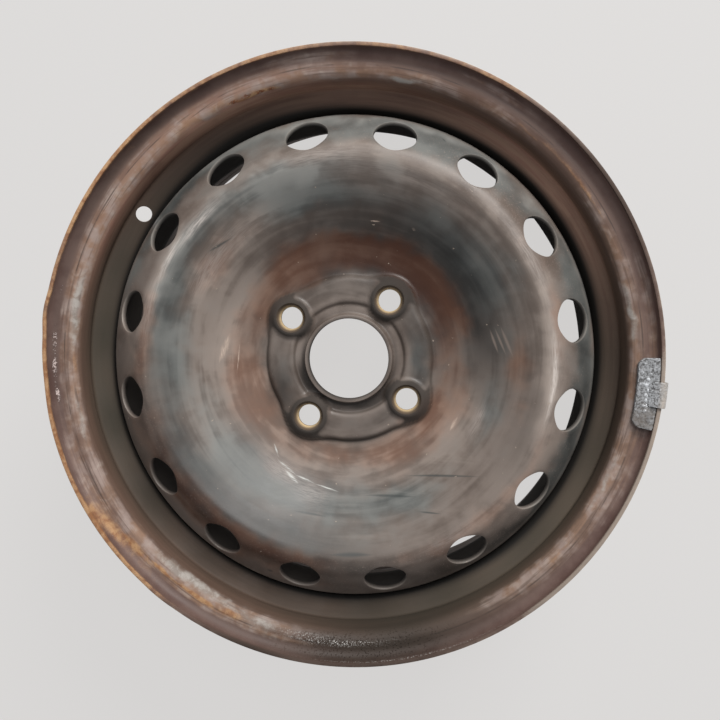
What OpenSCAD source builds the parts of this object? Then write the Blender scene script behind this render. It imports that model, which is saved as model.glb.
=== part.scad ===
// A 15 inch pressed steel car wheel without its tyre: a rolled rim, a dished disc pressed into
// its well and welded there, and a clip-on balance weight on the outer lip.
// The wheel's axis is Z, the outer face looks up, and Z is zero at the face that meets the hub.
// Every section is drawn as [radius, height] and turned about the axis. Angles start at +X.

/* [Rim] */
// Diameter of the bead seats
seat_d = 380.2; // [350:0.1:410]
// Width between the two flanges
rim_width = 152.4; // [140:0.1:170]
// Distance from the middle of the rim out to the hub face
wheel_offset = 43; // [35:0.5:50]
// Thickness of the rim's sheet
rim_sheet = 2.6; // [2:0.1:3.2]
// Height of a flange over its bead seat
flange_height = 17.3; // [16.5:0.1:19]
// How far a lip curls out past its flange
lip_width = 11.5; // [10.5:0.1:13]
// Radius of the lip's curl, on the tyre side
lip_bend = 9.5; // [8.5:0.1:9.8]
// Radius where the flange turns into the bead seat, on the tyre side
heel_bend = 6.5; // [5:0.1:7]
// Taper of the bead seats, in degrees
seat_taper = 5; // [4:0.5:6]
// Distance from a flange to the foot of its safety hump
hump_foot = 17; // [16:0.5:18]
// Distance from a flange to the top of its safety hump
hump_at = 23; // [22.5:0.5:25]
// Radius of the hump, on the tyre side
hump_bend = 5; // [4:0.1:5]
// Depth of the drop well under the bead seats
well_depth = 17.3; // [15:0.1:20]
// Width of the flat floor of the well
well_width = 47; // [42:1:56]
// Steepness of the well's outer wall, in degrees from the axis
well_wall_angle = 63; // [55:1:68]
// Radius at the two edges of the well's floor, on the tyre side
well_bend = 8; // [6:0.5:9]

/* [Valve hole] */
// Diameter of the valve hole
valve_hole_d = 11.3; // [9:0.1:13]
// Angle at which the valve hole stands
valve_hole_angle = 145.3; // [120:0.1:170]
// How far out along the well's wall the valve hole is, as a share of the wall
valve_hole_share = 0.5; // [0.4:0.05:0.6]

/* [Disc] */
// Thickness of the disc's sheet
disc_sheet = 3.5; // [3:0.1:4]
// Radial gap between the disc's flange and the well it is pressed into
press_gap = 0.1; // [0.05:0.05:0.3]
// Length of the disc's flange below its shoulder
disc_flange = 38.5; // [32:0.5:44]
// Height of the shoulder over the hub face, where the slope meets the flange
shoulder_z = 9.9; // [8:0.1:12]
// Radius of the shoulder
shoulder_bend = 9; // [7:0.5:10]
// Distance from the flange in to the crown
crown_inset = 29.1; // [27:0.1:32]
// Height of the crown's corner over the hub face
crown_z = 37; // [33:0.5:40]
// Radius of the crown
crown_bend = 13; // [10:0.5:16]
// Radius from the axis at which the bowl starts to rise
bowl_foot_r = 86; // [84:0.5:90]
// Radius of the curve at the bowl's foot
bowl_bend = 70; // [60:1:72]

/* [Hub] */
// Diameter of the bore that centres on the hub
bore_d = 56.6; // [52:0.1:60]
// Height of the collar round the bore, over the hub face
collar_z = 11; // [10:0.1:13]
// Thickness of the collar at its top, where it is drawn thinner than the sheet
collar_wall = 2.6; // [2.2:0.1:3.2]
// Height of the inner ring's front over the hub face
inner_ring_z = 4.2; // [4:0.1:5]
// Radius where the inner ring ends and the bolt ring rises
inner_ring_r = 38.3; // [37:0.1:39]
// Height of the bolt ring's front over the floor of the groove round it
bolt_ring_rise = 3.3; // [2.5:0.1:3.4]
// Radius where the bolt ring ends
bolt_ring_r = 56.5; // [55:0.5:57]
// Radius of the hollow bends at the hub, on the front
hub_bend = 2; // [1.5:0.1:2.2]
// Radius of the bends at the edges of the bolt ring, on the front
crest_bend = 4; // [4:0.1:4.5]

/* [Bolt seats] */
// Diameter of the bolt circle
bolt_circle_d = 100; // [98:0.5:104]
// Number of bolts
bolt_count = 4; // [3:1:5]
// Angle of the first bolt
bolt_angle = 55.2; // [0:0.1:90]
// Diameter of the bolt holes
bolt_hole_d = 15.5; // [13:0.1:16]
// Diameter of the mouth of the cone seats
bolt_seat_d = 21; // [19:0.1:22]
// Full angle of the cone seats, in degrees
bolt_seat_angle = 60; // [56:1:64]
// Height of the bosses over the bolt ring
boss_rise = 3.4; // [3:0.1:4]
// Diameter of a boss at its top
boss_top_d = 25; // [24:0.1:27]
// Diameter of a boss at its foot
boss_foot_d = 33; // [31:0.1:34]
// Radius of a boss at the edge of its top
boss_bend = 2; // [1:0.1:2.5]
// How far a boss is let into the sheet
boss_sink = 0.1; // [0.05:0.05:0.2]

/* [Vent holes] */
// Number of vent holes
vent_count = 16; // [12:1:18]
// Diameter of the vent holes
vent_d = 29.6; // [24:0.1:31]
// Angle of the first vent hole
vent_angle = 10.3; // [0:0.1:22]
// Distance from the flange in to the middle of the vent holes
vent_inset = 14.9; // [14:0.1:16.5]

/* [Welds] */
// Number of weld runs
weld_count = 8; // [4:1:12]
// Length of one weld run, in degrees
weld_span = 13; // [8:1:18]
// Height of the weld fillets
weld_leg = 4; // [3:0.1:6]
// How full the fillets are, where a half would be a straight face
weld_fullness = 0.6; // [0.5:0.05:0.7]

/* [Balance weight] */
// Angle at which the weight stands
weight_angle = -5.5; // [-20:0.1:20]
// Length of the weight along the lip, in degrees
weight_span = 13.2; // [11:0.1:20]
// Radial width of the weight
weight_width = 12.8; // [11.5:0.1:14]
// Thickness of the weight at its inner edge
weight_edge = 3.5; // [2.5:0.1:4.5]
// Radius of the weight's inner corners
weight_corner = 8; // [5:0.5:9]
// Gap between the weight and the lip
weight_gap = 0.2; // [0.1:0.05:0.4]
// How far the weight stays below the end of the lip
weight_drop = 0.4; // [0.2:0.1:0.6]
// Largest radius of the weight's long edges
weight_edge_bend = 1; // [0.5:0.1:1.2]

/* [Weight clip] */
// Width of the clip along the lip, in degrees
clip_span = 4.6; // [4:0.1:7]
// Thickness of the clip
clip_sheet = 1.6; // [1:0.1:1.8]
// Gap between the clip and the lip
clip_gap = 0.3; // [0.2:0.05:0.4]
// Gap at the clip's side, where its hook stands off the lip
clip_bulge = 0.8; // [0.4:0.1:1.2]
// How far the clip's root reaches in from the lip
clip_root = 6; // [5:0.1:7]
// How far the clip's root lies below the end of the lip
clip_root_drop = 3.2; // [3:0.1:3.6]
// Where the clip levels out, counted in from the lip
clip_level = 1.2; // [1:0.1:1.5]
// How far below the middle of the lip's curl the hook turns in
clip_hook = 2.5; // [2:0.1:3]
// How far round the lip's curl the hook's tip reaches, in degrees
clip_tip = 40; // [36:1:44]
// Gap between the clip and its slot in the weight
slot_gap = 0.1; // [0.05:0.05:0.2]

/* [Hidden] */
$fn = 96;
// Largest step along a rounded corner, in degrees
arc_step = 9;
// How far a cutter runs past the face it cuts
past = 1;
// Length of a punch, in thicknesses of the sheet that it goes through
punch = 6;

seat_r = seat_d / 2;
flange_r = seat_r + flange_height;
well_r = seat_r - well_depth;
rim_middle_z = -wheel_offset;
flange_z = rim_middle_z + rim_width / 2;
lip_z = flange_z + lip_width;
well_wall_top_z = flange_z - hump_at;
well_front_z = well_wall_top_z - well_depth / tan(well_wall_angle);
well_back_z = well_front_z - well_width;

disc_r = well_r - rim_sheet - press_gap;
disc_end_z = shoulder_z - disc_flange;
crown_r = disc_r - crown_inset;
slope_angle = atan2(crown_z - shoulder_z, crown_inset);
vent_r = disc_r - vent_inset;
vent_z = shoulder_z + vent_inset * tan(slope_angle);
// The welds lie between the vent holes
weld_angle = vent_angle + 180 / vent_count;

bore_r = bore_d / 2;
collar_r = bore_r + disc_sheet;
collar_top_r = bore_r + collar_wall;
groove_z = disc_sheet;
bolt_ring_z = groove_z + bolt_ring_rise;
inner_rise = bolt_ring_z - inner_ring_z;
boss_z = bolt_ring_z + boss_rise;

lip_centre = [flange_r - lip_bend, flange_z + lip_bend];
lip_inner_r = flange_r - rim_sheet;
weight_outer_r = lip_inner_r - weight_gap;
weight_inner_r = weight_outer_r - weight_width;
weight_seat_bend = lip_bend - rim_sheet - weight_gap;
weight_seat_z = lip_centre[1] - weight_seat_bend;
weight_top_z = lip_z - weight_drop;
weight_top_bend = min(weight_edge_bend, (weight_top_z - lip_centre[1]) / 2);
tip_arm = lip_bend + clip_gap;
slot_span = clip_span + 2 * atan(slot_gap / flange_r);

// The part of a corner that says where it is
function place(corner) = [corner[0], corner[1]];

function unit(v) = v / norm(v);

// The direction to the right of a walk in direction d, turned on by a degrees
function right_of(d, a = 0) = [
    d[1] * cos(a) + d[0] * sin(a),
    d[1] * sin(a) - d[0] * cos(a)
];

// How far a walk turns from direction a to direction b, with left turns positive
function turn(a, b) = atan2(a[0] * b[1] - a[1] * b[0], a * b);

// The points of an outline with rounded corners, moved to its right by shift.
// A corner is [radius, height, bend], where bend is its rounding on the outline itself.
function bent(corners, shift = 0) = [
    for (i = [0 : len(corners) - 1])
        let (
            ends = i == 0 || i == len(corners) - 1,
            before = place(corners[max(i - 1, 0)]),
            here = place(corners[i]),
            after = place(corners[min(i + 1, len(corners) - 1)]),
            way_in = unit(i == 0 ? after - here : here - before),
            way_out = unit(i == len(corners) - 1 ? here - before : after - here),
            angle = turn(way_in, way_out),
            bend = sign(angle) * corners[i][2],
            start = here - abs(bend) * tan(abs(angle) / 2) * way_in,
            centre = start - bend * right_of(way_in),
            steps = ceil(abs(angle) / arc_step)
        )
        each ends
            ? [here + shift * right_of(way_in)]
            : [for (k = [0 : steps]) centre + (bend + shift) * right_of(way_in, angle * k / steps)]
];

function reversed(list) = [for (i = [len(list) - 1 : -1 : 0]) list[i]];

// The section of a bent sheet that lies to the right of an outline
function sheet(corners, thickness, shift = 0) =
    concat(bent(corners, shift), reversed(bent(corners, shift + thickness)));

// One flange with its lip, heel, bead seat and hump, on the tyre side, from the lip inwards.
// It is drawn for the outer side with heights counted from the middle of the rim.
rim_side = [
    [flange_r, rim_width / 2 + lip_width, 0],
    [flange_r, rim_width / 2, lip_bend],
    [seat_r, rim_width / 2, heel_bend],
    [seat_r - hump_foot * tan(seat_taper), rim_width / 2 - hump_foot, hump_bend],
    [seat_r, rim_width / 2 - hump_at, hump_bend]
];

// The whole rim on the tyre side, from the outer lip to the inner one
rim_corners = concat(
    [for (c = rim_side) [c[0], rim_middle_z + c[1], c[2]]],
    [[well_r, well_front_z, well_bend], [well_r, well_back_z, well_bend]],
    [for (c = reversed(rim_side)) [c[0], rim_middle_z - c[1], c[2]]]
);

// The front of the disc, from the top of the collar out to the end of the flange
disc_corners = [
    [collar_top_r, collar_z, 0],
    [collar_r, inner_ring_z, hub_bend],
    [inner_ring_r, inner_ring_z, hub_bend],
    [inner_ring_r + inner_rise, bolt_ring_z, crest_bend],
    [bolt_ring_r, bolt_ring_z, crest_bend],
    [bolt_ring_r + bolt_ring_rise, groove_z, hub_bend],
    [bowl_foot_r, groove_z, bowl_bend],
    [crown_r, crown_z, crown_bend],
    [disc_r, shoulder_z, shoulder_bend],
    [disc_r, disc_end_z, 0]
];

// The side of the clip that faces the lip, from its root in the weight to the tip of its hook
clip_corners = [
    [lip_inner_r - clip_root, lip_z - clip_root_drop, 0],
    [lip_inner_r - clip_level, lip_z + clip_gap, clip_sheet],
    [flange_r + clip_bulge, lip_z + clip_gap, clip_sheet],
    [flange_r + clip_bulge, lip_centre[1] - clip_hook, clip_sheet],
    [lip_centre[0] + tip_arm * cos(clip_tip), lip_centre[1] - tip_arm * sin(clip_tip), 0]
];

// Copies of a shape, evenly spaced about the axis
module around(count, first) {
    for (i = [0 : count - 1])
        rotate(first + 360 * i / count)
            children();
}

// Part of a turn of a section, centred on an angle
module sector(middle, span) {
    rotate(middle - span / 2)
        rotate_extrude(angle = span)
            children();
}

// The punched hole through the outer wall of the well, square to the wall
module valve_hole() {
    wall_r = well_r + valve_hole_share * well_depth;
    wall_z = well_front_z + valve_hole_share * (well_wall_top_z - well_front_z);
    rotate(valve_hole_angle)
        translate([wall_r, 0, wall_z])
            rotate([0, well_wall_angle - 90, 0])
                cylinder(d = valve_hole_d, h = punch * rim_sheet, center = true);
}

module rim() {
    color("#4a3a36")
        difference() {
            rotate_extrude()
                polygon(sheet(rim_corners, rim_sheet));
            valve_hole();
        }
}

// A raised boss for a bolt head, with rounded shoulders
module boss() {
    boss_outline = [
        [boss_foot_d / 2, groove_z - boss_sink, 0],
        [boss_top_d / 2, boss_z, boss_bend],
        [0, boss_z, 0]
    ];
    rotate_extrude()
        polygon(concat([[0, groove_z - boss_sink]], bent(boss_outline)));
}

// What is taken out of a boss: its cone seat, the bolt hole and the hollow behind it
module boss_hollow() {
    seat_depth = (bolt_seat_d - bolt_hole_d) / 2 / tan(bolt_seat_angle / 2);
    hollow_z = bolt_ring_z - disc_sheet - boss_sink;
    hollow_top_d = boss_top_d - disc_sheet;
    hollow_foot_d = boss_foot_d - disc_sheet;
    translate([0, 0, boss_z - seat_depth])
        cylinder(d1 = bolt_hole_d, d2 = bolt_seat_d, h = seat_depth);
    translate([0, 0, boss_z])
        cylinder(d = bolt_seat_d, h = past);
    translate([0, 0, -past])
        cylinder(d = bolt_hole_d, h = boss_z);
    cylinder(d1 = hollow_foot_d, d2 = hollow_top_d, h = hollow_z);
    translate([0, 0, -past])
        cylinder(d = hollow_foot_d, h = past);
}

module vent_hole() {
    translate([vent_r, 0, vent_z])
        rotate([0, slope_angle, 0])
            cylinder(d = vent_d, h = punch * disc_sheet, center = true);
}

// The hole through the collar, sized after the collar is drawn
module bore() {
    translate([0, 0, -past])
        cylinder(d = bore_d, h = collar_z + 2 * past);
}

module disc() {
    color("#4d4f4b")
        difference() {
            union() {
                rotate_extrude()
                    polygon(sheet(disc_corners, disc_sheet));
                around(bolt_count, bolt_angle)
                    translate([bolt_circle_d / 2, 0, 0])
                        boss();
            }
            around(bolt_count, bolt_angle)
                translate([bolt_circle_d / 2, 0, 0])
                    boss_hollow();
            around(vent_count, vent_angle)
                vent_hole();
            bore();
        }
}

module weld_beads() {
    weld_outline = [
        [disc_r - weld_leg, disc_end_z, 0],
        [disc_r - weld_fullness * weld_leg, disc_end_z - weld_fullness * weld_leg, weld_leg / 3],
        [disc_r, disc_end_z - weld_leg, 0]
    ];
    color("#5a4038")
        around(weld_count, weld_angle)
            sector(0, weld_span)
                polygon(concat([[disc_r, disc_end_z]], bent(weld_outline)));
}

// The section of the clip, grown all round by a gap
module clip_section(gap) {
    polygon(sheet(clip_corners, clip_sheet + 2 * gap, -clip_sheet - gap));
}

module balance_weight() {
    seat = [
        for (a = [-90 : arc_step : 0])
            lip_centre + weight_seat_bend * [cos(a), sin(a)]
    ];
    top = [
        [weight_outer_r, lip_centre[1], 0],
        [weight_outer_r, weight_top_z, weight_top_bend],
        [weight_inner_r, weight_seat_z + weight_edge, weight_edge_bend],
        [weight_inner_r, weight_seat_z, 0]
    ];
    half_length = weight_outer_r * sin(weight_span / 2);
    inner_edge = weight_inner_r * cos(weight_span / 2);
    outline = [
        [weight_outer_r + past, half_length, 0],
        [inner_edge, half_length, weight_corner],
        [inner_edge, -half_length, weight_corner],
        [weight_outer_r + past, -half_length, 0]
    ];
    color("#9a9c9e")
        difference() {
            intersection() {
                sector(weight_angle, weight_span)
                    polygon(concat(seat, bent(top)));
                rotate(weight_angle)
                    translate([0, 0, flange_z])
                        linear_extrude(2 * lip_width)
                            polygon(bent(outline));
            }
            sector(weight_angle, slot_span)
                clip_section(slot_gap);
        }
}

module weight_clip() {
    color("#b3b3b0")
        sector(weight_angle, clip_span)
            clip_section(0);
}

rim();
disc();
weld_beads();
balance_weight();
weight_clip();
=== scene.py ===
# %% [markdown]
# # A worn steel car wheel
#
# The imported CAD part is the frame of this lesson: it fixes every size and place, in metres, with
# the wheel's axis along Z and its outer face up. Each solid is then replaced by a mesh that is
# modelled for the picture, with rounded edges, dents and a finish. The script can be run cell by
# cell, and each cell prints what it made.

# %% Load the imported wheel
import math

import bpy
import numpy as np
from mathutils import Matrix, Vector
from mathutils.noise import fractal, noise as noise_at


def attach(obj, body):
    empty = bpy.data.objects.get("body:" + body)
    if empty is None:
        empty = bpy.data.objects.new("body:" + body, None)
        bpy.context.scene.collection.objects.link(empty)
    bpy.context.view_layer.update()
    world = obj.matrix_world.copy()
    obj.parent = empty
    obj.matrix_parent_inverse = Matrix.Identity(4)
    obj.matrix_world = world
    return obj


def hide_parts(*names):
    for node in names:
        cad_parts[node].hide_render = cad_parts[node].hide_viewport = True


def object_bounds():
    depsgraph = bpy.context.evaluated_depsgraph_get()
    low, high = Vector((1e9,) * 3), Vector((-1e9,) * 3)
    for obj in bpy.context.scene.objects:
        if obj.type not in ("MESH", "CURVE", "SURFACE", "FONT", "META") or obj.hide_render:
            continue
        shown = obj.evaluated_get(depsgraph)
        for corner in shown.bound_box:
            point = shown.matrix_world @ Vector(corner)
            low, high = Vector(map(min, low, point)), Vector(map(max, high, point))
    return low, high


MM = 0.001
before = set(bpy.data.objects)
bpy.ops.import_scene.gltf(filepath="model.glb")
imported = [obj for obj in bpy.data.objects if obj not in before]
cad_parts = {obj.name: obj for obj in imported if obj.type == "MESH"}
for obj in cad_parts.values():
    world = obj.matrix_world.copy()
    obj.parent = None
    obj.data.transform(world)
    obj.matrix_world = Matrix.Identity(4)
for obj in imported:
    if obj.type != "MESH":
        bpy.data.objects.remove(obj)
cad_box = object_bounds()
scene = bpy.context.scene
print("CAD nodes:", ", ".join(sorted(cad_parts)))
print("CAD box in mm:", [round(v / MM, 1) for corner in cad_box for v in corner])

# %% [markdown]
# ## Camera
#
# The picture was taken from a little over half a metre, almost straight along the axis. A camera
# that close sees down the inside of the far wall of a dish, so the distance has to be right and
# not only the angle. A camera object looks along its own -Z with +Y up, so its turn is put
# together from the three directions of the picture.

# %% Place the camera
camera_at = Vector((56.7, 32.5, 559.9)) * MM
looks_along = Vector((-0.08765, -0.06031, -0.99432)).normalized()
picture_up = Vector((-0.00877, 0.99821, -0.05914))
picture_right = looks_along.cross(picture_up).normalized()
picture_up = picture_right.cross(looks_along)

bpy.ops.object.select_all(action="DESELECT")
bpy.ops.object.camera_add(location=camera_at)
camera = bpy.context.object
camera.name = "camera"
axes = Matrix((picture_right, picture_up, -looks_along)).transposed()
camera.rotation_euler = axes.to_euler()
camera.data.sensor_width = 36
camera.data.lens = 39.25
scene.camera = camera
print("Camera is", round(camera_at.length / MM), "mm from the hub")

# %% [markdown]
# ## Sections
#
# Both sheets of a steel wheel are round, so each is drawn as one outline in the plane of the axis
# and turned. An outline is a short list of corners, each a radius, a height and a bend, with the
# same numbers as the CAD part. It is first drawn very finely. Rows are then picked from it, close
# together in the bends and wide apart on the straights, which keeps the mesh light.

# %% Draw a rounded outline
BEND_STEPS, OUTLINE_STEPS, PICK_STEPS = 60, 8000, 2000


def rounded(corners):
    """A fine outline as rows of (length so far, radius, height) in mm."""
    points = [Vector(corners[0][:2])]
    for before, here, after in zip(corners, corners[1:], corners[2:]):
        a, b, c = (Vector(corner[:2]) for corner in (before, here, after))
        way_in, way_out = (b - a).normalized(), (c - b).normalized()
        turn = math.atan2(way_in.cross(way_out), way_in.dot(way_out))
        start = b - way_in * here[2] * math.tan(abs(turn) / 2)
        centre = start + Vector((-way_in.y, way_in.x)) * math.copysign(here[2], turn)
        for k in range(BEND_STEPS + 1):
            points.append(centre + Matrix.Rotation(turn * k / BEND_STEPS, 2) @ (start - centre))
    points.append(Vector(corners[-1][:2]))
    corners_in_line = np.array([tuple(p) for p in points])
    lengths = np.hypot(*np.diff(corners_in_line, axis=0).T)
    so_far = np.concatenate([[0], np.cumsum(lengths)])
    fine = np.linspace(0, so_far[-1], OUTLINE_STEPS + 1)
    return np.column_stack([fine] + [np.interp(fine, so_far, corners_in_line[:, k]) for k in (0, 1)])


def at_length(outline, length):
    """Radius and height at a length along an outline."""
    return np.column_stack([np.interp(length, outline[:, 0], outline[:, k]) for k in (1, 2)])


def rows_between(outline, start, end, longest, sharpest):
    """Lengths of rows that are at most so far apart in mm and turn at most so many degrees."""
    length = np.linspace(start, end, PICK_STEPS + 1)
    step = np.diff(at_length(outline, length), axis=0)
    heading = np.unwrap(np.arctan2(step[:, 1], step[:, 0]))
    turning = np.abs(np.diff(heading, prepend=heading[0])) / math.radians(sharpest)
    crowding = np.concatenate([[0], np.cumsum(np.maximum(np.hypot(*step.T) / longest, turning))])
    count = max(1, math.ceil(crowding[-1]))
    return np.interp(np.linspace(0, crowding[-1], count + 1), crowding, length)


print("An outline has", OUTLINE_STEPS, "steps, and each of its bends", BEND_STEPS)

# %% Turn an outline into a skin
def select_only(piece):
    bpy.ops.object.select_all(action="DESELECT")
    piece.select_set(True)
    bpy.context.view_layer.objects.active = piece


def edit_all(piece, *steps):
    """Runs mesh operators, each with its settings, on the whole of a piece in Edit Mode."""
    select_only(piece)
    bpy.ops.object.mode_set(mode="EDIT")
    bpy.ops.mesh.select_all(action="SELECT")
    for operator, settings in steps:
        operator(**settings)
    bpy.ops.object.mode_set(mode="OBJECT")


def turned_skin(name, section, columns, first_angle=0, sweep=2 * math.pi):
    """Draws a section of (radius, height) in mm point by point and spins it about the axis."""
    bpy.ops.object.select_all(action="DESELECT")
    start = Vector((section[0][0], 0, section[0][1])) * MM
    bpy.ops.mesh.primitive_plane_add(size=MM, location=start)
    skin = bpy.context.object
    skin.name = name
    bpy.ops.object.transform_apply(location=True, rotation=False, scale=False)
    bpy.ops.object.mode_set(mode="EDIT")
    bpy.ops.mesh.merge(type="CENTER")
    for step in np.diff(section, axis=0) * MM:
        bpy.ops.mesh.extrude_region_move(TRANSFORM_OT_translate={"value": (step[0], 0, step[1])})
    bpy.ops.mesh.select_all(action="SELECT")
    bpy.ops.mesh.spin(steps=columns, angle=sweep, center=(0, 0, 0), axis=(0, 0, 1))
    bpy.ops.mesh.select_all(action="SELECT")
    bpy.ops.mesh.remove_doubles(threshold=0.001 * MM)
    bpy.ops.object.mode_set(mode="OBJECT")
    skin.rotation_euler.z = first_angle
    bpy.ops.object.transform_apply(location=False, rotation=True, scale=False)
    print(name, "skin:", len(section), "rows and", columns, "columns")
    return skin


def face_out(skin, near, way):
    """Flips a skin if the face nearest to a point in mm doesn't look the given way."""
    face = min(skin.data.polygons, key=lambda f: (f.center - Vector(near) * MM).length)
    if face.normal.dot(Vector(way)) < 0:
        edit_all(skin, (bpy.ops.mesh.flip_normals, {}))


# %% [markdown]
# ## Disc
#
# The dished centre is one pressed sheet. Its front is turned as a skin. The vents could be cut
# with a Boolean, but that leaves odd faces round each hole, which show as dents in a glossy
# finish. So the rows and columns round each vent are drawn in until one loop of edges is the
# hole, and the faces inside it are deleted. Solidify then gives the sheet its thickness.

# %% Turn the disc's skin
disc_sheet = 3.5
shoulder = (170.1, 9.9)
crown = (141.0, 37.0)
disc_outline = rounded([
    (30.9, 11.0, 0), (31.8, 4.2, 2), (38.3, 4.2, 2), (40.9, 6.8, 4), (56.5, 6.8, 4),
    (59.8, 3.5, 2), (86.0, 3.5, 70), (*crown, 13), (*shoulder, 9), (170.1, -28.6, 0),
])
vent_count, vent_radius = 16, 14.8
vent_at = (155.2, 23.776)
vent_first = math.radians(10.3)
slope = Vector(shoulder) - Vector(crown)
slope.normalize()

near_vent = np.hypot(disc_outline[:, 1] - vent_at[0], disc_outline[:, 2] - vent_at[1])
vent_length = disc_outline[near_vent.argmin(), 0]
half_cells = 6
cells_per_vent = 24
disc_columns = vent_count * cells_per_vent
hub_reach = 70
hub_end = disc_outline[np.argmax(disc_outline[:, 1] > hub_reach), 0]
band = vent_length + vent_radius * np.linspace(-1, 1, 2 * half_cells + 1)
disc_rows = np.concatenate([
    rows_between(disc_outline, 0, hub_end, longest=1.3, sharpest=14)[:-1],
    rows_between(disc_outline, hub_end, band[0], longest=5, sharpest=5)[:-1],
    band,
    rows_between(disc_outline, band[-1], disc_outline[-1, 0], longest=6, sharpest=7)[1:],
])
disc_section = at_length(disc_outline, disc_rows)
disc = turned_skin("disc_pressing", disc_section, disc_columns, vent_first)
face_out(disc, (75, 0, 3.5), (0, 0, 1))

# %% Read and move vertices
def places(piece):
    """The vertices of a piece in mm, as rows of x, y, z."""
    flat = np.empty(len(piece.data.vertices) * 3)
    piece.data.vertices.foreach_get("co", flat)
    return flat.reshape(-1, 3) / MM


def move_to(piece, rows):
    piece.data.vertices.foreach_set("co", (rows * MM).ravel())
    piece.data.update()


def polar(xyz):
    """Distance from the axis and angle about it, for rows of x, y, z."""
    return np.hypot(xyz[:, 0], xyz[:, 1]), np.arctan2(xyz[:, 1], xyz[:, 0])


def from_polar(radius, turn, height):
    return np.column_stack([radius * np.cos(turn), radius * np.sin(turn), height])


print("Disc skin has", len(places(disc)), "vertices")

# %% Draw the mesh in round the vents
def on_skin(along, across):
    """Length and angle on the disc of points given in the plane of a vent."""
    length = vent_length + along
    for _ in range(12):
        radius, height = at_length(disc_outline, length).T
        angle = np.arcsin(across / radius)
        reach = (radius * np.cos(angle) - vent_at[0]) * slope.x + (height - vent_at[1]) * slope.y
        length = length + along - reach
    return length, angle


def square_to_turn(u, v):
    """The direction on a circle for a point on the edge of a square."""
    quarter = math.pi / 4
    side = np.where(u > 0, quarter * v, math.pi - quarter * v)
    end = np.where(v > 0, math.pi / 2 - quarter * u, -math.pi / 2 + quarter * u)
    return np.where(np.abs(u) >= np.abs(v), side, end)


xyz = places(disc)
column_step = 2 * math.pi / disc_columns
radius, angle = polar(xyz)
row_gap = (radius[:, None] - disc_section[:, 0]) ** 2 + (xyz[:, 2, None] - disc_section[:, 1]) ** 2
row = row_gap.argmin(1)
vent_row = int(np.argmin(np.abs(disc_rows - vent_length)))
column = np.rint((angle - vent_first) / column_step).astype(int)
from_row = row - vent_row
from_column = (column + cells_per_vent // 2) % cells_per_vent - cells_per_vent // 2
ring = np.maximum(np.abs(from_row), np.abs(from_column)) - half_cells
last_ring = 5
drawn = (ring >= 0) & (ring < last_ring)
half = half_cells + ring[drawn]
u, v = from_row[drawn] / half, from_column[drawn] / half
turn = square_to_turn(u, v)
hole_length, hole_angle = on_skin(vent_radius * np.cos(turn), vent_radius * np.sin(turn))
edge_row = (half_cells + last_ring) * u + vent_row
edge_length = np.interp(edge_row, np.arange(len(disc_rows)), disc_rows)
edge_angle = (half_cells + last_ring) * v * column_step
share = ring[drawn] / last_ring
new_radius, new_height = at_length(disc_outline, hole_length + share * (edge_length - hole_length)).T
vent_index = np.rint((column[drawn] - from_column[drawn]) / cells_per_vent)
middle = vent_first + vent_index * cells_per_vent * column_step
new_angle = middle + hole_angle + share * (edge_angle - hole_angle)
xyz[drawn] = from_polar(new_radius, new_angle, new_height)
move_to(disc, xyz)
print("Vertices drawn in round the vents:", int(drawn.sum()))

# %% Open the vents and thicken the sheet
def apply_modifier(piece, name, kind, **settings):
    modifier = piece.modifiers.new(name, kind)
    for setting, value in settings.items():
        setattr(modifier, setting, value)
    select_only(piece)
    bpy.ops.object.modifier_apply(modifier=modifier.name)


def as_sheet(piece, thickness, edge):
    """Gives a skin its thickness and rounds its cut edges, both in mm."""
    apply_modifier(piece, "Sheet", "SOLIDIFY", thickness=thickness * MM, offset=-1,
                   use_even_offset=True, use_quality_normals=True)
    apply_modifier(piece, "Edges", "BEVEL", width=edge * MM, segments=2, limit_method="ANGLE",
                   angle_limit=math.radians(50))
    print(piece.name, "sheet:", len(piece.data.polygons), "faces")


select_only(disc)
bpy.ops.object.mode_set(mode="EDIT")
bpy.ops.mesh.select_all(action="DESELECT")
bpy.ops.object.mode_set(mode="OBJECT")
for face in disc.data.polygons:
    face.select = min(ring[i] for i in face.vertices) < 0
bpy.ops.object.mode_set(mode="EDIT")
bpy.ops.mesh.select_mode(type="FACE")
bpy.ops.mesh.delete(type="FACE")
bpy.ops.mesh.select_mode(type="VERT")
bpy.ops.object.mode_set(mode="OBJECT")
as_sheet(disc, disc_sheet, edge=0.6)

# %% [markdown]
# Each bolt sits on a boss that is pressed up out of the bolt ring. A boss is a low cone with soft
# edges, so its height over the sheet is worked out for each vertex and blended in, as a sculptor
# would raise it with a smooth brush. The cone seats and the holes are then cut by turned plugs.

# %% Press up the bolt bosses
def soft_max(a, b, soft):
    """The larger of two heights, with a fillet where they meet."""
    meet = np.maximum(soft - np.abs(a - b), 0) / soft
    return np.maximum(a, b) + meet * meet * soft / 4


bolt_count, bolt_first, bolt_reach = 4, 55.2, 50
bolt_turns = [math.radians(bolt_first + 360 / bolt_count * k) for k in range(bolt_count)]
bolt_places = np.array([(bolt_reach * math.cos(t), bolt_reach * math.sin(t)) for t in bolt_turns])
ring_edge = 58.0
boss_top, boss_shoulder, boss_foot, boss_foot_height = 10.2, 12.3, 17.0, 3.4
hollow_top, hollow_shoulder, hollow_slope = 3.2, 10.75, 0.8


def off_outline(xyz):
    """How far a place lies outside the outline of the bolt ring and its four bosses, in mm."""
    to_bolt = np.hypot(*(xyz[:, None, :2] - bolt_places[None]).transpose(2, 0, 1)).min(1)
    radius, _ = polar(xyz)
    return -soft_max(ring_edge - radius, boss_foot - 0.6 - to_bolt, 9.0), to_bolt, radius


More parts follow.
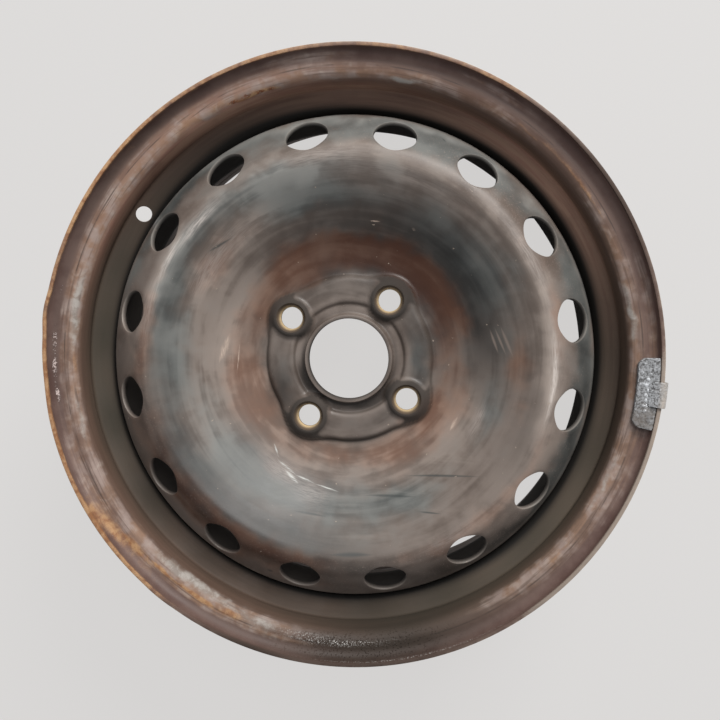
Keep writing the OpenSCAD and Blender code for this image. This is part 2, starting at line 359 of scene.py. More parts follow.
xyz = places(disc)
outside, to_bolt, radius = off_outline(xyz)
hub_rows = 40
hub_radius, hub_height = disc_section[:hub_rows].T
front_height = np.interp(radius, hub_radius, hub_height)
hub = (radius > 33) & (radius < 69)
on_front = hub & (np.abs(xyz[:, 2] - front_height) < 1.2)
outer = on_front & (radius > 48)
xyz[outer, 2] = np.interp(ring_edge + outside[outer], hub_radius, hub_height)
cone = boss_top - (to_bolt - boss_shoulder) * (boss_top - boss_foot_height) / (boss_foot - boss_shoulder)
boss = -soft_max(-cone, np.full_like(cone, -boss_top), 2.4)
xyz[on_front, 2] = soft_max(xyz[on_front, 2], boss[on_front], 2.4)
hollow = hollow_top - (to_bolt - hollow_shoulder) * hollow_slope
hollow = -soft_max(-hollow, np.full_like(cone, -hollow_top), 1.0)
on_back = hub & ~on_front
xyz[on_back, 2] = soft_max(xyz[on_back, 2], hollow[on_back], 0.8)
bore = 28.3
xyz[:, :2] *= np.maximum(1, bore / radius)[:, None]
move_to(disc, xyz)
print("Boss vertices raised:", int((on_front & (to_bolt < 16)).sum()))

# %% Cut the bolt seats
def joined(pieces):
    select_only(pieces[0])
    for piece in pieces:
        piece.select_set(True)
    bpy.ops.object.join()
    return bpy.context.object


def cut(piece, title, cutter):
    apply_modifier(piece, title, "BOOLEAN", operation="DIFFERENCE", solver="EXACT", object=cutter)
    bpy.data.objects.remove(cutter)
    print(title, "cut:", piece.name, "has", len(piece.data.polygons), "faces")


bolt_hole, bolt_seat = 7.75, 10.5
seat_foot = boss_top - (bolt_seat - bolt_hole) / math.tan(math.radians(30))
plug_section = [(0, -4), (bolt_hole, -4), (bolt_hole, seat_foot), (bolt_seat, boss_top),
                (bolt_seat + 0.6, boss_top + 2), (0, boss_top + 2)]
plugs = []
for place in bolt_places:
    plug = turned_skin("plug", plug_section, 64)
    plug.location = (*place * MM, 0)
    bpy.ops.object.transform_apply(location=True, rotation=False, scale=False)
    edit_all(plug, (bpy.ops.mesh.normals_make_consistent, {"inside": False}))
    plugs.append(plug)
cut(disc, "Bolt seats", joined(plugs))

# %% [markdown]
# ## Rim
#
# The hoop is rolled from one strip. Its tyre side is turned as a skin and thickened inwards, and
# the valve hole is cut square to the wall of the well. A used lip is never quite round, so a few
# knocks are pushed into it.

# %% Turn the rim
rim_sheet = 2.6
outer_side = [
    (207.4, 44.7, 0), (207.4, 33.2, 9.5), (190.1, 33.2, 6.5), (188.613, 16.2, 5), (190.1, 10.2, 5)]
rim_middle = -43
inner_side = [(r, 2 * rim_middle - z, bend) for r, z, bend in reversed(outer_side)]
well = [(172.8, 1.385, 8), (172.8, -45.615, 8)]
rim_outline = rounded(outer_side + well + inner_side)
rim_rows = rows_between(rim_outline, 0, rim_outline[-1, 0], longest=5, sharpest=9)
rim_section = at_length(rim_outline, rim_rows)
rim_columns = 432
rim = turned_skin("rim_hoop", rim_section, rim_columns)
face_out(rim, (172.8, 0, -20), (1, 0, 0))
as_sheet(rim, rim_sheet, edge=0.5)

# %% Cut the valve hole
valve_turn, valve_lean = math.radians(145.3), math.radians(27)
valve_radius, valve_reach, valve_height = 5.65, 180.1, 6.9
valve_at = Vector((valve_reach * math.cos(valve_turn), valve_reach * math.sin(valve_turn), valve_height))
bpy.ops.object.select_all(action="DESELECT")
bpy.ops.mesh.primitive_cylinder_add(vertices=48, radius=valve_radius * MM, depth=16 * MM,
                                    location=valve_at * MM, rotation=(0, -valve_lean, valve_turn))
cut(rim, "Valve hole", bpy.context.object)

# %% Measure lengths along the rim
def nearest(outline, xyz):
    """Length along an outline of its point nearest to each vertex, and how far off that is."""
    radius, _ = polar(xyz)
    line = outline[::12]
    length, depth = np.empty(len(xyz)), np.empty(len(xyz))
    for some in np.array_split(np.arange(len(xyz)), 40):
        gap = (radius[some, None] - line[:, 1]) ** 2 + (xyz[some, 2, None] - line[:, 2]) ** 2
        best = gap.argmin(1)
        length[some], depth[some] = line[best, 0], np.sqrt(gap.min(1))
    return length, depth


rim_along, rim_depth = nearest(rim_outline, places(rim))
print("Rim outline is", round(float(rim_along.max())), "mm long")

# %% Knock the lip
def bump(turn, middle, half_width):
    """1 at the middle angle, falling to 0 at its sides, in degrees."""
    off = (np.degrees(turn) - middle + 180) % 360 - 180
    return np.clip(1 - (off / half_width) ** 2, 0, None) ** 2


xyz = places(rim)
radius, turn = polar(xyz)
lip = np.clip((xyz[:, 2] - 33) / 9, 0, 1) * np.clip((radius - 193) / 9, 0, 1)
knocks = ((171, 5, 1.2), (185, 7, -0.5), (232, 5, 0.4))
push = lip * sum(depth * bump(turn, middle, half) for middle, half, depth in knocks)
xyz[:, :2] *= (1 + push / radius)[:, None]
move_to(rim, xyz)
print("Lip pushed by up to", round(float(np.abs(push).max()), 2), "mm")

# %% [markdown]
# ## Welds
#
# Eight short welds hold the disc in the well, on the back. A weld bead is a row of small ripples
# that starts and stops. One is drawn as a closed section, spun through its length and capped.
# Its rows are then swelled and drawn in about the corner that they fill, and the bead is copied.

# %% Lay one weld bead and copy it
weld_corner, weld_count, weld_span = (170.1, -28.6), 8, math.radians(13)
weld_face = [(166.1, -28.6), (166.5, -29.9), (167.7, -31.0), (168.8, -32.1), (170.1, -32.6)]
weld_start = vent_first + math.pi / vent_count - weld_span / 2
first_bead = turned_skin("weld_runs", [weld_corner, *weld_face, weld_corner], 52, weld_start, weld_span)
edit_all(first_bead, (bpy.ops.mesh.fill_holes, {"sides": 0}),
         (bpy.ops.mesh.normals_make_consistent, {"inside": False}))
xyz = places(first_bead)
radius, turn = polar(xyz)
share = (turn - weld_start) / weld_span
ripple = 1 + 0.07 * np.sin(share * 46 + 0.6 * np.sin(share * 9)) + 0.05 * np.sin(share * 7 + 1)
ends = np.clip(np.minimum(share, 1 - share) / 0.07, 0, 1) ** 0.5
grow = np.clip(ripple * (0.45 + 0.55 * ends), 0, 1.02)
radius = weld_corner[0] + (radius - weld_corner[0]) * grow
height = weld_corner[1] + (xyz[:, 2] - weld_corner[1]) * grow
move_to(first_bead, from_polar(radius, turn, height))

beads = [first_bead]
for k in range(1, weld_count):
    select_only(first_bead)
    bpy.ops.object.duplicate()
    bead = bpy.context.object
    bead.rotation_euler.z = 2 * math.pi * k / weld_count
    bpy.ops.object.transform_apply(location=False, rotation=True, scale=False)
    beads.append(bead)
welds = joined(beads)
print("Weld runs:", weld_count, "with", len(welds.data.polygons), "faces")

# %% [markdown]
# ## Balance weight and clip
#
# The weight is a rough casting, so its even CAD solid is only a start: a copy is merged, remeshed
# into small even faces, and then pitted along its normals with noise, which stays the same on
# each run because it depends on the place alone. Worn lumps stand where a mark was cast. The real
# clip is cast into the weight, so the inner end of its mesh is sunk a little.

# %% Remesh a copy of a CAD solid
def remeshed(node, name, voxel):
    select_only(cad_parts[node])
    bpy.ops.object.duplicate()
    piece = bpy.context.object
    piece.name = name
    for key in [k for k in piece.keys() if k.startswith("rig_")]:
        del piece[key]
    piece.parent = None
    piece.data.materials.clear()
    edit_all(piece, (bpy.ops.mesh.remove_doubles, {"threshold": 0.005 * MM}))
    apply_modifier(piece, "Even faces", "REMESH", mode="VOXEL", voxel_size=voxel * MM)
    apply_modifier(piece, "Soften", "SMOOTH", factor=0.5, iterations=2)
    print(name, "remeshed:", len(piece.data.vertices), "vertices")
    return piece


# %% Pit a casting
def store(piece, attribute, values):
    layer = piece.data.attributes.new(attribute, "FLOAT", "POINT")
    layer.data.foreach_set("value", np.asarray(values, dtype=np.float32))


def pit_noise(place):
    return noise_at(Vector(place) + Vector((3.1, 7.7, 1.3)))


def pitted(piece, depth, size, lumps=()):
    """Moves each vertex along its normal by noise of a depth and size in mm, and raises soft lumps."""
    xyz = places(piece)
    normal = np.array([vertex.normal for vertex in piece.data.vertices])
    move = np.empty(len(xyz))
    for i, place in enumerate(xyz):
        rough = fractal(Vector(place) / size, 0.7, 2.0, 3)
        pit = max(0.0, pit_noise(place / (1.6 * size)) - 0.22)
        move[i] = depth * (rough - 2.2 * pit)
    for lump_turn, lump_radius, width, height in lumps:
        at = np.array([lump_radius * math.cos(lump_turn), lump_radius * math.sin(lump_turn)])
        off = np.hypot(*(xyz[:, :2] - at).T) / width
        move += height * np.exp(-off ** 4) * (normal[:, 2] > 0.3)
    move_to(piece, xyz + normal * move[:, None])
    store(piece, "relief", np.clip(0.5 + 0.32 * move / depth, 0, 1))
    store(piece, "edge", np.exp(-((normal[:, 2] - 0.55) / 0.25) ** 2))
    print(piece.name, "is pitted by up to", round(float(np.abs(move).max()), 2), "mm")


# %% Cast the weight and bend the clip
weight_turn, weight_reach = math.radians(-5.5), 197.5
mark_width, mark_height = 1.0, 0.26
mark_places = [(2.6, 0.4), (1.7, 1.6), (1.6, -0.8), (0.7, 0.6), (-0.2, -0.6),
               (-0.4, 1.5), (-1.3, 0.2), (-2.2, 1.1), (-2.4, -0.9), (-3.3, 0.3)]
worn_marks = [(weight_turn + math.radians(t), weight_reach + r, mark_width, mark_height)
              for t, r in mark_places]
weight = remeshed("balance_weight", "cast_weight", 0.4)
pitted(weight, 0.15, 1.9, worn_marks)
clip = remeshed("weight_clip", "spring_clip", 0.3)
xyz = places(clip)
sunk_depth, sunk_from, sunk_run, sunk_above = 1.1, 204.2, 1.2, 36
sunk = np.clip((sunk_from - polar(xyz)[0]) / sunk_run, 0, 1) * (xyz[:, 2] > sunk_above)
xyz[:, 2] -= sunk_depth * sunk
move_to(clip, xyz)
pitted(clip, 0.12, 1.2)

# %% [markdown]
# ## Painting where the wheel is worn
#
# Rust, scuffs and stains on a used wheel are not even: each has its place. A few soft strokes are
# laid on the vertices as attributes, as with a weight brush: by angle in degrees, and across the
# sheet by a length in mm, counted from the lip's end on the rim and from the axis on the disc. A
# length alone would mark both sides of the rim's sheet, so its strokes are kept to the front side.
# The finishes below break their edges up with noise, so a stroke needs no detail.
# Some strokes paint shade, shadow and highlights into the colour.

# %% Lay soft strokes on a piece
def wandering(piece, size, reach):
    """Two slow noises over a piece, in mm, that make the edges of its strokes wander."""
    spots = [Vector(place) / size for place in places(piece)]
    return [reach * np.array([fractal(spot + Vector((0, 0, far)), 0.8, 2.0, 3) for spot in spots])
            for far in (0, 40)]


def lay(piece, attribute, across, strokes, sway=None, only=1.0):
    """Strokes are (angle, middle, half angle, half width, strength). Only is a share for each vertex."""
    xyz = places(piece)
    radius, turn = polar(xyz)
    turn = np.degrees(turn)
    if sway is not None:
        turn = turn + np.degrees(sway[0] / radius)
        across = across + sway[1]
    paint = np.zeros(len(xyz))
    for angle, middle, half_angle, half_width, strength in strokes:
        off = ((turn - angle + 180) % 360 - 180) / half_angle
        paint += (1 - paint) * strength * np.exp(-off ** 2 - ((across - middle) / half_width) ** 2)
    paint = paint * only
    store(piece, attribute, paint)
    print(piece.name, attribute, "covers", round(float(paint.mean()), 3))


def all_round(strengths, middle, half_angle, half_width):
    """Strokes at one length, from a short list of angles and strengths."""
    return [(angle, middle, half_angle, half_width, strength) for angle, strength in strengths.items()]


# %% Rust and scuffs on the rim
WHOLE_TURN = 1e6
lip_end, curl, flange, heel, wall, barrel = 0, 11, 17, 23, 58, 145
rim_sway = wandering(rim, 15, 1.5)
front_side = np.maximum(np.clip((rim_depth - 0.8) / 1.0, 0, 1), np.exp(-(rim_along / 2.5) ** 2))


def on_rim(attribute, strokes, sway=None):
    lay(rim, attribute, rim_along, strokes, sway, front_side)


lip_rust = {
    62: 0.55, 82: 0.45, 103: 0.6, 120: 0.6, 136: 0.8, 150: 0.8, 166: 0.55, 180: 1.0, 196: 1.0, 211: 1.0,
    224: 0.75}
patch_rust = [
    (212, 5, 4, 6, 0.75), (216, 12, 5, 4.5, 0.75), (221, 17, 4.5, 2.6, 0.85), (229, 18.2, 7, 1.2, 1.0),
    (239, 18.8, 7, 1.1, 1.0), (246, 20.5, 3, 2.2, 0.75), (226, 11, 8, 5, 0.35)]
pit_rust = [
    (107, 25, 5, 1.6, 0.7), (112, 25.5, 3, 1.2, 0.65), (36, 21.5, 10, 1.2, 0.6), (52, 22, 8, 1.0, 0.5),
    (181, 24, 4, 1.6, 0.5), (136, 8, 5, 3.0, 0.35), (318, 22, 6, 1.5, 0.5), (150, 20, 8, 1.5, 0.4),
    (122, 23, 15, 3, 0.4)]
on_rim("rust", all_round(lip_rust, lip_end, 11, 1.9) + patch_rust + pit_rust, rim_sway)
heel_scuff = {
    2: 0.65, 16: 0.75, 30: 0.45, 58: 0.5, 75: 0.8, 92: 0.75, 108: 1.0, 124: 0.95, 140: 1.0, 156: 0.9,
    170: 1.0, 188: 0.85, 206: 0.75, 222: 0.85, 238: 1.0, 252: 0.85, 306: 0.75, 318: 0.65, 333: 0.9,
    348: 0.9}
flange_scuff = {
    105: 0.4, 120: 0.45, 135: 0.35, 150: 0.55, 165: 0.4, 180: 0.4, 195: 0.4, 210: 0.65, 225: 0.8,
    240: 0.95, 255: 0.85, 315: 0.35, 330: 0.55, 345: 0.4}
curl_scuff = {0: 0.6, 15: 0.6, 60: 0.5, 97: 0.7, 195: 0.3, 208: 0.6, 335: 0.4, 350: 0.3}
scuffs = all_round(heel_scuff, heel, 10, 3.6) + all_round(flange_scuff, flange, 10, 2.6)
on_rim("scuff", scuffs + all_round(curl_scuff, curl, 9, 5), rim_sway)

# %% Silver, flakes, water and painted glints on the rim
on_rim("silver", [
    (233, 24, 8, 2.4, 0.95), (10, 23, 7, 2.0, 0.9), (78, 24, 4, 1.5, 0.9), (170, 23, 9, 2.4, 0.95),
    (335, 23, 9, 1.8, 0.6), (142, 22, 6, 2.0, 0.5), (193, 23, 8, 2.0, 0.6), (252, 22, 6, 2.4, 0.7),
    (238, 25, 12, 4, 0.7), (254, 17, 7, 5, 0.4)], rim_sway)
on_rim("bare", all_round({312: 0.7, 325: 0.95, 340: 0.95, 355: 0.8}, lip_end, 9, 1.4))
on_rim("flakes", [
    (176, 10.5, 2.2, 2.5, 0.9), (181, 10.5, 2.6, 2.5, 1.0), (187, 11, 2.6, 2.2, 0.9),
    (166, 11, 1.2, 1.2, 0.7), (218, 9, 1.5, 1.5, 0.6)])
on_rim("wet", [(268, 19, 9, 5, 0.9), (281, 18, 10, 7, 1.0), (275, 8, 16, 6, 0.9)], rim_sway)
# Sparkle is painted glints on the wet heel at the bottom.
on_rim("sparkle", [(268, 20, 8, 0.7, 1.0), (283, 2.5, 14, 1.2, 0.6), (262, 22, 5, 0.8, 0.5)])

# %% Grime, painted shade and painted light on the rim
# Grime and painted shade: the wall is darkened most at the left and the bottom, and the inside of the
# barrel all round.
wall_grime_and_shade = {
    0: 0.55, 15: 0.25, 75: 0.2, 105: 0.3, 158: 0.95, 175: 0.97, 195: 1.0, 215: 0.97, 235: 0.8, 255: 0.74,
    275: 0.95, 292: 0.92, 315: 0.72, 340: 0.75}
lip_grime_and_shade = [
    (32, lip_end, 22, 2.0, 0.85), (282, lip_end, 25, 2.0, 0.6), (138, curl, 28, 6, 0.65),
    (285, 14, 22, 9, 0.65), (245, curl, 14, 6, 0.3), (252, lip_end, 10, 2.5, 0.9),
    (180, curl, 14, 5, 0.35), (277, 17, 11, 4, 0.8), (120, 60, 16, 13, 0.95), (140, 60, 16, 14, 0.95),
    (280, 38, 28, 11, 0.95), (281, 28, 17, 7, 1.0), (273, 4, 17, 5, 0.6), (268, curl, 12, 6, 0.5)]
on_rim("grime_and_shade", all_round(wall_grime_and_shade, wall, 12, 20) + lip_grime_and_shade + [(0, barrel, WHOLE_TURN, 78, 0.7)])
on_rim("olive", [(322, 48, 62, 30, 1.0), (185, 52, 45, 18, 0.9)])
# The tan hump is made lighter than its paint, as painted light on a wall that lies in shade here.
on_rim("hump", [
    (42, 49, 30, 9, 1.0), (95, 40, 22, 9, 0.85), (120, 31, 26, 12, 1.0), (150, 28, 14, 6, 0.6)])
# Painted shadow: black in the crevice where the disc meets the well, widest at the upper right.
on_rim("crevice_shadow", [
    (0, 66, WHOLE_TURN, 4.5, 1.0), (38, 66, 50, 7, 0.95), (112, 66, 26, 8, 0.95), (312, 66, 26, 7, 0.9),
    (265, 66, 22, 6, 0.8), (0, 78, WHOLE_TURN, 12, 1.0)])
lay(rim, "lip", rim_along, [(0, 8, WHOLE_TURN, 13, 1.0)])
store(rim, "along", rim_along)
store(rim, "rolled_edge", np.exp(-(rim_depth / 0.4) ** 2) * (rim_along < 0.6))

# %% Brown and teal smears on the disc
xyz = places(disc)
radius, turn = polar(xyz)
_, disc_depth = nearest(disc_outline, xyz)
disc_sway = wandering(disc, 24, 5)
ring_brown = {
    0: 0.8, 30: 0.95, 60: 1.0, 90: 1.0, 120: 0.95, 150: 0.85, 180: 0.6, 210: 0.55, 240: 0.5, 270: 0.5,
    300: 0.65, 330: 0.8}
lay(disc, "brown", radius, all_round(ring_brown, 71, 20, 11) + [
    (180, 84, 40, 9, 0.55), (330, 84, 25, 8, 0.7), (75, 82, 70, 9, 0.8), (3, 116, 12, 10, 0.6),
    (345, 122, 14, 9, 0.4), (142, 115, 22, 8, 0.4), (170, 140, 18, 6, 0.6), (62, 130, 14, 6, 0.25),
    (320, 143, 32, 8, 0.6), (225, 154, 60, 12, 0.5), (240, 141, 34, 7, 0.7),
    (10, 146, 10, 5, 0.6)], disc_sway)
lay(disc, "teal", radius, [
    (5, 50, 30, 9, 0.7), (205, 50, 25, 9, 0.5), (75, 155, 50, 11, 0.8), (258, 105, 14, 12, 0.8),
    (130, 166, 35, 6, 0.9), (112, 131, 34, 10, 0.95), (100, 112, 26, 12, 0.8), (145, 134, 18, 6, 0.9),
    (165, 128, 14, 8, 0.8), (10, 164, 34, 8, 0.95), (40, 106, 30, 18, 0.9), (28, 130, 10, 6, 0.5),
    (232, 108, 36, 16, 0.95), (215, 130, 26, 8, 0.8), (290, 105, 20, 13, 0.85), (335, 165, 20, 6, 0.8),
    (75, 164, 40, 6, 0.6), (180, 122, 16, 10, 0.7), (340, 104, 14, 7, 0.6),
    (255, 128, 14, 7, 0.6)], disc_sway)

# %% Painted shade, and pale smears with painted light, on the disc
# The dark strokes are painted shade and painted dark reflections, most of them on the upper right of the
# dish.
lay(disc, "dark", radius, [
    (48, 96, 46, 18, 0.86), (75, 65, 45, 8, 0.9), (50, 68, 55, 12, 1.0), (200, 50, 14, 8, 0.5),
    (226, 100, 18, 8, 0.14), (243, 131, 10, 6, 0.3), (270, 130, 10, 6, 0.2), (0, 160, 11, 6, 0.35),
    (268, 157, 12, 5, 0.4), (66, 161, 9, 4, 0.4), (85, 84, 50, 16, 0.85), (18, 92, 24, 12, 0.7),
    (228, 143, 44, 9, 0.85), (240, 129, 34, 9, 0.75), (200, 130, 26, 8, 0.35), (312, 164, 30, 7, 0.9),
    (345, 164, 22, 7, 0.5), (15, 164, 16, 7, 0.4), (265, 143, 25, 7, 0.45), (350, 50, 60, 8, 0.35),
    (140, 68, 30, 8, 0.4), (140, 128, 16, 8, 0.3), (120, 100, 20, 12, 0.1), (0, 50, WHOLE_TURN, 8, 0.25),
    (338, 130, 14, 8, 0.3), (8, 98, 14, 12, 0.4), (112, 164, 14, 6, 0.25), (203, 163, 30, 8, 0.35),
    (135, 164, 14, 6, 0.3), (160, 128, 14, 8, 0.2)], disc_sway)
# The pale strokes are partly wear and partly painted light, brightening the top of the crown and parts
# of the dish.
lay(disc, "pale", radius, [
    (168, 88, 26, 8, 0.85), (245, 82, 30, 10, 0.75), (328, 88, 18, 8, 0.7), (22, 137, 18, 7, 0.95),
    (48, 138, 14, 5, 0.5), (85, 139, 12, 5, 0.6), (97, 137, 14, 7, 1.0), (112, 140, 12, 6, 0.7),
    (166, 140, 12, 6, 0.9), (179, 148, 11, 9, 0.6), (205, 84, 16, 8, 0.6), (292, 84, 18, 8, 0.6),
    (205, 69, 28, 9, 0.7), (245, 70, 36, 9, 0.75), (290, 70, 30, 9, 0.6), (326, 70, 18, 8, 0.4),
    (318, 146, 15, 8, 0.8), (336, 149, 11, 6, 0.6), (296, 141, 10, 5, 0.6), (238, 145, 16, 5, 0.35),
    (143, 139, 18, 6, 1.0), (355, 139, 18, 6, 1.0), (62, 167.5, 34, 3.2, 0.95), (98, 167, 28, 4, 0.7),
    (55, 129, 34, 8, 0.4), (98, 131, 34, 8, 1.0), (325, 130, 20, 8, 0.2), (180, 100, 34, 10, 0.4),
    (141, 115, 24, 9, 1.0), (318, 100, 22, 10, 0.4), (225, 160, 50, 9, 0.2), (208, 112, 14, 10, 0.35),
    (78, 50, 26, 8, 0.2), (290, 146, 24, 6, 0.35), (200, 70, 18, 8, 0.5)], disc_sway)

# %% Wiped and flecked places and painted highlights on the disc
lay(disc, "wiped", radius, [(285, 105, 40, 24, 0.9)], disc_sway)
lay(disc, "flecked", radius, [
    (300, 152, 60, 14, 0.9), (60, 150, 50, 14, 0.8), (180, 152, 60, 14, 0.5)], disc_sway)
# The shine strokes are painted highlights: thin bright lines along the crown and soft glints in the
# dish.
lay(disc, "shine", radius, [
    (150, 139.5, 7, 1.8, 0.7), (138, 136.5, 6, 1.8, 0.7), (355, 139.8, 9, 1.3, 1.0),
    (335, 100, 6, 2.5, 0.3), (240, 94, 9, 6, 0.3), (97, 138, 12, 5, 0.28), (30, 140, 10, 4, 0.25),
    (165, 140, 9, 4, 0.2), (0, 139, 12, 4, 0.2), (135, 139, 8, 4, 0.2), (300, 140, 8, 4, 0.15),
    (137, 115, 14, 6, 0.18), (150, 116, 8, 6, 0.15), (75, 131, 22, 5, 0.16), (255, 99, 7, 7, 0.25)])
# The back of the sheet is darkened, as painted shade for what the vents show behind them.
store(disc, "behind", np.clip((disc_depth - 1.2) / 1.0, 0, 1))

# %% Painted shade and dirt in the grooves of the disc
outside, to_bolt, radius = off_outline(xyz)
below = np.clip(0.55 - 0.55 * np.sin(turn + 0.3), 0, 1)
seat = np.clip((bolt_seat + 0.3 - to_bolt) / (bolt_seat - bolt_hole), 0, 1)
store(disc, "bare", np.where(xyz[:, 2] > 4, seat ** 0.7, 0))
# The grooves are painted shade as well as dirt: darker towards the bottom and at a few angles where
# shade falls in them.
groove_width = 1.0 + 0.9 * bump(turn, 288, 48)
groove = np.exp(-((outside - 1.2) / groove_width) ** 2) * (radius > 50) * (0.15 + 0.85 * below)
inner_groove = np.exp(-((radius - 33.2) / 1.6) ** 2) * (xyz[:, 2] < 8) * (0.25 + 0.75 * below)
inner_groove += np.exp(-((radius - 36.0) / 2.6) ** 2) * (bump(turn, 206, 32) + 1.4 * bump(turn, 300, 44))
ring_line = 0.5 * np.exp(-((radius - 39.3) / 0.7) ** 2) * (to_bolt > 14)
dirt_and_shade = np.clip(groove + inner_groove + ring_line, 0, 1) * (radius < hub_reach) * (xyz[:, 2] > 1)
store(disc, "dirt_and_shade", dirt_and_shade)
print("Dirt covers", round(float(dirt_and_shade.mean()), 3), "of the disc")

# %% Bare edges and painted highlights on the disc
pitch = 2 * math.pi / vent_count
vent_turn = (turn - vent_first + pitch / 2) % pitch - pitch / 2
up_slope = (radius * np.cos(vent_turn) - vent_at[0]) * slope.x + (xyz[:, 2] - vent_at[1]) * slope.y
off_vent = np.hypot(up_slope, radius * np.sin(vent_turn)) - vent_radius
vent_edge = np.exp(-(off_vent / 0.28) ** 2) * (disc_depth < 1.5) * (np.abs(radius - vent_at[0]) < 18)
# The vent edges are worn bare and lighter on their outer side, which is partly painted highlight.
vent_edge *= 0.35 + 0.65 * np.clip(0.5 + 0.6 * up_slope / vent_radius, 0, 1)
# Painted highlight: the collar's edge is lit towards the bottom.
collar_highlight = (0.1 + 0.6 * below) * (radius < 30.2) * (xyz[:, 2] > 9.8)
shoulder_edge = np.exp(-((radius - 168.3) / 0.8) ** 2) * (xyz[:, 2] > 4)
# Partly painted highlight: the shoulder's edge is lighter towards the lamps and at the lower left.
shoulder_edge *= 0.35 + 0.45 * bump(turn, 48, 50) + 0.3 * bump(turn, 245, 35)
edge_wear_and_highlight = np.clip(vent_edge + collar_highlight + shoulder_edge, 0, 1)
store(disc, "edge", edge_wear_and_highlight)
print("Bare edges cover", round(float(edge_wear_and_highlight.mean()), 3), "of the disc")

# %% [markdown]
# ## Finishes
#
# A finish is a small tree of shader nodes. These helpers add nodes to the tree that is being built,
# which is always called tree. They take either a number or another node's output, so a finish reads
# from top to bottom. Effects that several finishes share are node groups: they hand out only masks,
# colours and heights, and the shader itself stays in each material.

# %% Helpers for node trees
def new_material(name):
    material = bpy.data.materials.new(name)
    material.use_nodes = True
    material.node_tree.nodes.clear()
    return material, material.node_tree


def feed(socket, value):
    if isinstance(value, bpy.types.NodeSocket):
        tree.links.new(value, socket)
    elif isinstance(value, tuple) and len(value) == 3 and socket.type == "RGBA":
        socket.default_value = (*value, 1)
    else:
        socket.default_value = value


def calc(operation, a, b=0.0, clamp=False):
    node = tree.nodes.new("ShaderNodeMath")
    node.operation = operation
    node.use_clamp = clamp
    feed(node.inputs[0], a)
    feed(node.inputs[1], b)
    return node.outputs[0]


def tell(name):
    print(name, "has", len(tree.nodes), "nodes")


def times(a, b):
    return calc("MULTIPLY", a, b)


def plus(a, b, clamp=False):
    return calc("ADD", a, b, clamp)


def vector_calc(operation, a, b=None, scale=None):
    node = tree.nodes.new("ShaderNodeVectorMath")
    node.operation = operation
    feed(node.inputs[0], a)
    if b is not None:
        feed(node.inputs[1], b)
    if scale is not None:
        node.inputs["Scale"].default_value = scale
    return node.outputs


def ramp(value, low, high, to_low=0.0, to_high=1.0):
    node = tree.nodes.new("ShaderNodeMapRange")
    node.interpolation_type = "SMOOTHSTEP"
    for socket, number in zip(node.inputs, (value, low, high, to_low, to_high)):
        feed(socket, number)
    return node.outputs[0]


def noise(vector, scale, detail=4.0, roughness=0.55, distortion=0.0):
    node = tree.nodes.new("ShaderNodeTexNoise")
    feed(node.inputs["Vector"], vector)
    settings = {"Scale": scale, "Detail": detail, "Roughness": roughness, "Distortion": distortion}
    for name, number in settings.items():
        node.inputs[name].default_value = number
    return node.outputs["Fac"]


def shaken(value, texture, depth):
    """A value with so much of a noise added, half up and half down."""
    return plus(value, times(calc("SUBTRACT", texture, 0.5), depth))


def mixed(factor, a, b):
    node = tree.nodes.new("ShaderNodeMix")
    node.data_type = "RGBA"
    for index, value in ((0, factor), (6, a), (7, b)):
        feed(node.inputs[index], value)
    return node.outputs[2]


def painted(attribute):
    node = tree.nodes.new("ShaderNodeAttribute")
    node.attribute_name = attribute
    return node.outputs["Fac"]


def new_group(name, inputs, outputs):
    tree = bpy.data.node_groups.new(name, "ShaderNodeTree")
    for title, kind in inputs:
        tree.interface.new_socket(title, in_out="INPUT", socket_type=kind)
    for title, kind in outputs:
        tree.interface.new_socket(title, in_out="OUTPUT", socket_type=kind)
    return tree, tree.nodes.new("NodeGroupInput").outputs, tree.nodes.new("NodeGroupOutput").inputs


def use_group(group, **inputs):
    node = tree.nodes.new("ShaderNodeGroup")
    node.node_tree = group
    for title, value in inputs.items():
        feed(node.inputs[title], value)
    return node.outputs


NUMBER, COLOUR, ARROW = "NodeSocketFloat", "NodeSocketColor", "NodeSocketVector"

# %% A group for places on the wheel
# It hands out the place in mm, and a place whose noise is drawn out round the axis.
wheel_places, _, result = new_group("wheel_places", [], [("Place", ARROW), ("Around", ARROW)])
tree = wheel_places
metres = tree.nodes.new("ShaderNodeTexCoord").outputs["Object"]
place = vector_calc("SCALE", metres, scale=1 / MM)["Vector"]
level = vector_calc("MULTIPLY", place, (1.0, 1.0, 0.0))["Vector"]
reach = vector_calc("LENGTH", level)["Value"]
direction = vector_calc("NORMALIZE", level)["Vector"]
upright = tree.nodes.new("ShaderNodeCombineXYZ")
height_share = times(vector_calc("DOT_PRODUCT", place, (0.0, 0.0, 1.0))["Value"], 0.1)
feed(upright.inputs["Z"], plus(times(reach, 0.15), height_share))
drawn_out = vector_calc("SCALE", direction, scale=1.7)["Vector"]
around = vector_calc("ADD", drawn_out, upright.outputs[0])["Vector"]
feed(result["Place"], place)
feed(result["Around"], around)
tell(tree.name)


def wheel_place():
    """The place on the wheel in mm, and the place that is drawn out round the axis."""
    outputs = use_group(wheel_places)
    return outputs["Place"], outputs["Around"]


